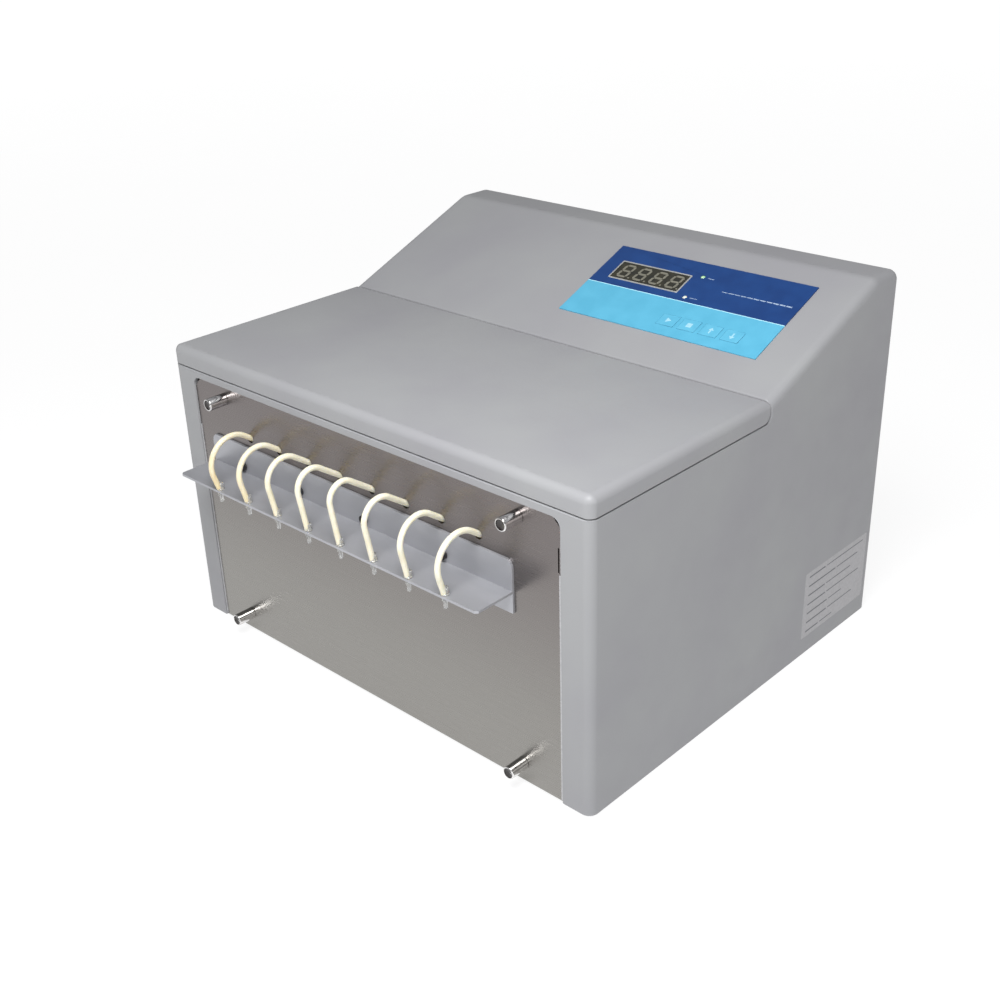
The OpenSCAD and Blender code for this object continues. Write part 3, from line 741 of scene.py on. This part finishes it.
def nozzle_profile(low, high):
    """Flange, collar and tapered tip, as (radius, height above the rail)."""
    tip = low - RAIL_TOP
    collar = high - RAIL_TOP
    return [(0, tip + 0.5), (0.6, tip + 0.4), (0.7, tip), (1.05, tip), (1.2, tip + 0.3), (1.2, -4.3),
            (1.5, -4), (1.95, -3.8), (2, -3.5), (2, 0), (2.45, 0), (2.6, 0.15), (2.6, 0.7), (2.4, 0.9),
            (2.25, 1), (2.15, 2.2), (2.2, collar - 0.3), (1.95, collar), (1.8, collar), (1.8, collar - 1),
            (0, collar - 1)]


def tube_x(k):
    low, high = limits("pump_tube_%d" % k)
    return (low.x + high.x) / 2


def build_nozzles():
    low, high = limits("nozzles")
    profile = nozzle_profile(low.z, high.z)
    nozzle_v = limits("nozzle_rail")[0].y + NOZZLE_INSET
    parts = [lathe("nozzle", frame_at(tube_x(k), nozzle_v, RAIL_TOP, 0), profile, 32) for k in CHANNELS]
    nozzles = join_meshes("nozzle_set", parts)
    settle(nozzles, "case", "clear_plastic", stands_for=["nozzles"])


# Route of the tubes: leaving the plate, the dip behind it, the rotor and the rise to the rear
EXIT_A = math.radians(35)
EXIT_Z = 150.5
PASS_V = 1.75
DIP_R = 16
RISE_R = 25
DIAGONAL = math.radians(45)
ROLLER_REACH = 25
TUBE_GAP = 0.4
# How far each tube's foot has yellowed, from the left
AGED = (0.55, 0.42, 0.2, 0.14, 0.1, 0.08, 0.06, 0.03)


def bend_down(centre, radius, first, last, steps):
    """(v, z, slope) along an arc that turns down, from one slope to the next."""
    for k in range(steps + 1):
        a = first + (last - first) * k / steps
        yield centre[0] - radius * math.sin(a), centre[1] + radius * math.cos(a), a


def bend_up(centre, radius, first, last, steps):
    for k in range(steps + 1):
        a = first + (last - first) * k / steps
        yield centre[0] + radius * math.sin(a), centre[1] - radius * math.cos(a), a


def tube_route(k, radius):
    """The way of a pump tube: nozzle, front loop, plate, dip, rotor, then level to the rear."""
    low, high = limits("pump_tube_%d" % k)
    spin = joints["rotor_spin"]["pos_m"]
    rotor_v, rotor_z = spin[1] / MM - FRONT, spin[2] / MM
    wrap = ROLLER_REACH + radius + TUBE_GAP
    wrap_x = wrap * math.sin(DIAGONAL)
    reach = -low.y - radius
    crown = high.z - radius
    rise = (crown - EXIT_Z) / math.tan(EXIT_A)
    loop = (reach + PASS_V - rise) / (1 + math.sin(EXIT_A) - (1 - math.cos(EXIT_A)) / math.tan(EXIT_A))
    centre = Vector((-(reach - loop), crown - loop))
    nozzle = Vector((limits("nozzle_rail")[0].y + NOZZLE_INSET, low.z))
    lean = math.asin(loop / (centre - nozzle).length) - math.atan2(centre.x - nozzle.x, centre.y - nozzle.y)
    dip = (rotor_v - wrap_x - DIP_R * (math.sin(DIAGONAL) + math.sin(EXIT_A)) - PASS_V) / math.cos(EXIT_A)
    foot = Vector((PASS_V, EXIT_Z)) + dip * Vector((math.cos(EXIT_A), -math.sin(EXIT_A)))
    under = foot + DIP_R * Vector((math.sin(EXIT_A), math.cos(EXIT_A)))
    run_z = rotor_z + wrap_x - RISE_R * (1 - math.cos(DIAGONAL))
    over = Vector((rotor_v + wrap_x + RISE_R * math.sin(DIAGONAL), run_z + RISE_R))
    route = [(nozzle.x, nozzle.y, math.pi / 2 + lean)]
    route += bend_down(centre, loop, math.pi / 2 + lean, -EXIT_A, 40)
    route += bend_up(under, DIP_R, -EXIT_A, DIAGONAL, 14)
    route += list(bend_down((rotor_v, rotor_z), wrap, DIAGONAL, -DIAGONAL, 16))[1:]
    route += list(bend_up(over, RISE_R, -DIAGONAL, 0, 8))[1:]
    return route + [(high.y, run_z, 0)]


def build_tube(k):
    low, high = limits("pump_tube_%d" % k)
    radius = (high.x - low.x) / 2
    middle = (low.x + high.x) / 2
    sides = 20
    rings = []
    for v, z, slope in tube_route(k, radius):
        ring = []
        for j in range(sides):
            turn = math.tau * j / sides
            rise = radius * math.cos(turn)
            ring.append((v - rise * math.sin(slope), z + rise * math.cos(slope),
                         middle + radius * math.sin(turn)))
        rings.append(ring)
    tube = loft("tube_%d" % k, PROFILE, rings)
    settle(tube, "case", "tube_elastomer", tube_elastomer(k, AGED[k - 1]), ["pump_tube_%d" % k])


build_studs()
build_stud_ends()
build_nozzles()
for channel in CHANNELS:
    build_tube(channel)


# ---------------------------------------------------------------- console: rim, digits, icons, lamps

FILM_TOP = 0.8
WINDOW_TOP = 0.9


def ring_piece(name, outer, inner, low, high):
    """Flat frame between two rounded rectangles."""
    a0, a1, b0, b1, r = outer
    rim = soft_prism(name, CONSOLE, rounded_rect(a0, a1, b0, b1, r), low, high, 0.12)
    a0, a1, b0, b1, r = inner
    carve(rim, [prism("hole", CONSOLE, rounded_rect(a0, a1, b0, b1, r), low - 1, high + 1)])
    return rim


def build_window_rim():
    rim = ring_piece("window_rim", (7.4, 63.1, 66.2, 84.8, 0.8), (8.4, 62.1, 67.2, 83.8, 0.5),
                     FILM_TOP - 0.02, FILM_TOP + 0.25)
    silver = ink("rim_silver", (206, 207, 206), (186, 187, 186), Metallic=0.5)
    settle(rim, "case", "overlay", silver)


def digit_segments(x, up, width, height, lean):
    """Seven bars of a digit standing at (x, up), leaning like the usual LED digit."""
    half = 0.85
    gap = 0.2
    bars = []
    for level in (0, 0.5, 1):
        y = up + height * level
        first, last = x + gap, x + width - gap
        bars.append([(first, y), (first + half, y + half), (last - half, y + half),
                     (last, y), (last - half, y - half), (first + half, y - half)])
    for a in (x, x + width):
        for foot in (up, up + height / 2):
            first, last = foot + gap, foot + height / 2 - gap
            bars.append([(a, first), (a - half, first + half), (a - half, last - half),
                         (a, last), (a + half, last - half), (a + half, first + half)])
    return [[(a + (b - up) * lean, b) for a, b in points] for points in bars]


DIGIT_X = 12.3
DIGIT_PITCH = 12.9
DIGIT_UP = 69.7
DIGIT_W = 6.9
DIGIT_H = 11.4


def build_digits():
    base = WINDOW_TOP - 0.02
    parts = []
    for k in range(4):
        x = DIGIT_X + k * DIGIT_PITCH
        for points in digit_segments(x, DIGIT_UP, DIGIT_W, DIGIT_H, 0.12):
            parts.append(soft_prism("segment", CONSOLE, points, base, base + 0.08, 0.04, 1))
        point = circle(x + 9.6, DIGIT_UP - 0.1, 0.7, 16)
        parts.append(soft_prism("point", CONSOLE, point, base, base + 0.08, 0.04, 1))
    digits = join_meshes("digits", parts)
    settle(digits, "case", "display_black", ink("digit_grey", (126, 124, 112), (110, 108, 98)))


def build_lamps():
    shades = (((150, 200, 150), (196, 224, 190)), ((236, 236, 230), (214, 214, 208)))
    for k, ((x, up), (first, second)) in enumerate(zip(LAMPS, shades), 1):
        place = CONSOLE @ Matrix.Translation((x, up, 0))
        turns = [math.pi / 2 * j / 6 for j in range(7)]
        dome = [(1.5 * math.cos(turn), 0.35 + 0.65 * math.sin(turn)) for turn in turns]
        lamp = lathe("lamp_%d" % k, place, [(0, -8.8), (1.3, -8.8), (1.5, -8.6), *dome], 32)
        finish = lamp_lens("lamp_%d_lens" % k, first, second)
        settle(lamp, "case", "lamp_lens", finish, ["lamps"] if k == 1 else ())


def arrow(x, up, turn):
    """Arrow outline about (x, up), pointing up when turn is 0."""
    spin = Matrix.Rotation(turn, 2)
    points = [(-0.5, -2.6), (-0.5, 0.4), (-1.9, 0.4), (0, 2.8), (1.9, 0.4), (0.5, 0.4), (0.5, -2.6)]
    return [tuple(Vector((x, up)) + spin @ Vector(point)) for point in points]


def build_key_marks():
    """Pale marks on the keys: run, stop, up and down."""
    white = ink("mark_white", (160, 208, 226), (150, 200, 220))
    for k, x, up in key_boxes():
        shapes = {
            1: [(x - 1.5, up - 2.2), (x - 1.5, up + 2.2), (x + 2.3, up)],
            2: rounded_rect(x - 1.9, x + 1.9, up - 1.9, up + 1.9, 0.3),
            3: arrow(x, up, 0),
            4: arrow(x, up, math.pi),
        }
        mark = soft_prism("key_%d_mark" % k, CONSOLE, shapes[k], KEY_TOP - 0.02, KEY_TOP + 0.05, 0.03, 1)
        settle(mark, "key_%d_body" % k, "key_film", white)


def build_panel_rules():
    """Pale dashes printed on the dark band: one by each lamp and a broken line to their right."""
    bars = [(74, 79, 85.3, 85.7), (74.5, 80, 64.3, 64.7)]
    for k in range(11):
        start = 91 + 4.6 * k
        bars.append((start, start + 3.9, 76.1, 76.6 + 0.05 * k))
    low, high = FILM_TOP - 0.02, FILM_TOP + 0.03
    parts = [prism("rule", CONSOLE, rounded_rect(*bar, 0.1), low, high) for bar in bars]
    rules = join_meshes("panel_rules", parts)
    settle(rules, "case", "overlay", ink("rule_white", (168, 186, 208), (150, 170, 196)))


# For each row of bars: how far it stops short of the first row, and its share before the gap
LABEL_ROWS = ((0, 0.3), (6, 0.55), (14, 0.4), (3, 0.35), (24, 0.6), (10, 0.45), (34, 0.5))


def build_label():
    """Side label: pale film with rows of plain bars, nothing written."""
    low, high = limits("rating_label")
    film_top = high.x - 0.07
    film = soft_prism("side_label", PROFILE, rounded_rect(low.y, high.y, low.z, high.z, 1.5),
                      low.x, film_top, 0.05, 2)
    settle(film, "case", "label_film", stands_for=["rating_label"])
    start, bottom, top = low.y + 5, low.z + 4, high.z - 4
    bars = []
    for k, (short, share) in enumerate(LABEL_ROWS):
        level = top - (top - bottom) * k / (len(LABEL_ROWS) - 1)
        end = high.y - 5 - short
        split = start + (end - start) * share
        bars.append((start, split - 1, level - 0.45, level + 0.45))
        bars.append((split + 1, end, level - 0.3, level + 0.3))
    parts = [prism("row", PROFILE, rounded_rect(*bar, 0.1), film_top - 0.02, high.x - 0.01) for bar in bars]
    rules = join_meshes("label_rows", parts)
    settle(rules, "case", "label_film", ink("label_ink", (96, 98, 104), (84, 86, 92)))


def build_plate_edges():
    """Folded edges of the front plate where they meet the shell, coloured lighter than the plate as a painted
    highlight.
    """
    outward = PLAN @ Matrix(((1, 0, 0, 0), (0, 0, -1, 0), (0, 1, 0, 0), (0, 0, 0, 1)))
    plate_v = limits("front_plate")[0].y
    parts = []
    for side in (-1, 1):
        inner, outer = sorted((side * 153.6, side * 154.5))
        parts.append(soft_prism("edge", outward, rounded_rect(inner, outer, 3, 146.5, 0.2),
                                -plate_v - 0.05, -0.5, 0.15, 2))
    edges = join_meshes("plate_edges", parts)
    # Painted highlight: the folds take a lighter, less metallic colour than the plate's steel to show the bright
    # line along them.
    settle(edges, "case", "steel_sheet", ink("painted_highlight_edge", (190, 190, 192), (176, 176, 179), Metallic=0.4))


build_window_rim()
build_digits()
build_lamps()
build_key_marks()
build_panel_rules()
build_label()
build_plate_edges()


# ---------------------------------------------------------------- CAD nodes that stay

EDGES = {
    "front_plate": 0.25, "nozzle_rail": 0.3, "rail_screws": 0.15, "rubber_feet": 0.6, "base_plate": 0.2,
    "rear_panel": 0.2, "case_screws": 0.2, "power_inlet": 0.4, "switch_bezel": 0.4, "power_rocker": 0.5,
    "partition": 0.2, "pump_chassis": 0.3, "chassis_posts": 0.3, "shaft_bearing": 0.3, "cassette_rods": 0.3,
    "stepper_motor": 0.5, "drive_shaft": 0.2, "rotor_discs": 0.3, "roller_pins": 0.2, "power_supply": 0.4,
    "control_board": 0.2, "display_board": 0.2, "display_module": 0.2, "display_window": 0.1,
    "membrane_panel": 0.12, "hinge_leaves": 0.25, "hinge_pins": 0.15, "inlet_barbs": 0.25,
}


def dress_node(name, slot):
    """Gives a shown CAD node its finish and softens its sharp edges."""
    node = nodes[name]
    if node.hide_render:
        return
    for held in node.material_slots:
        held.material = FINISHES[slot]
    weld = node.modifiers.new("weld", "WELD")
    weld.merge_threshold = 1e-6
    width = EDGES.get(name, 0.5 if name.startswith("cassette") else 0.3)
    soften(node, width)
    weigh = node.modifiers.new("normals", "WEIGHTED_NORMAL")
    weigh.keep_sharp = True


for part in frame["record"]["subparts"]:
    if part["material_slot"] in FINISHES:
        dress_node(part["node"], part["material_slot"])
for held in nodes["nozzle_rail"].material_slots:
    held.material = RAIL_SHEET
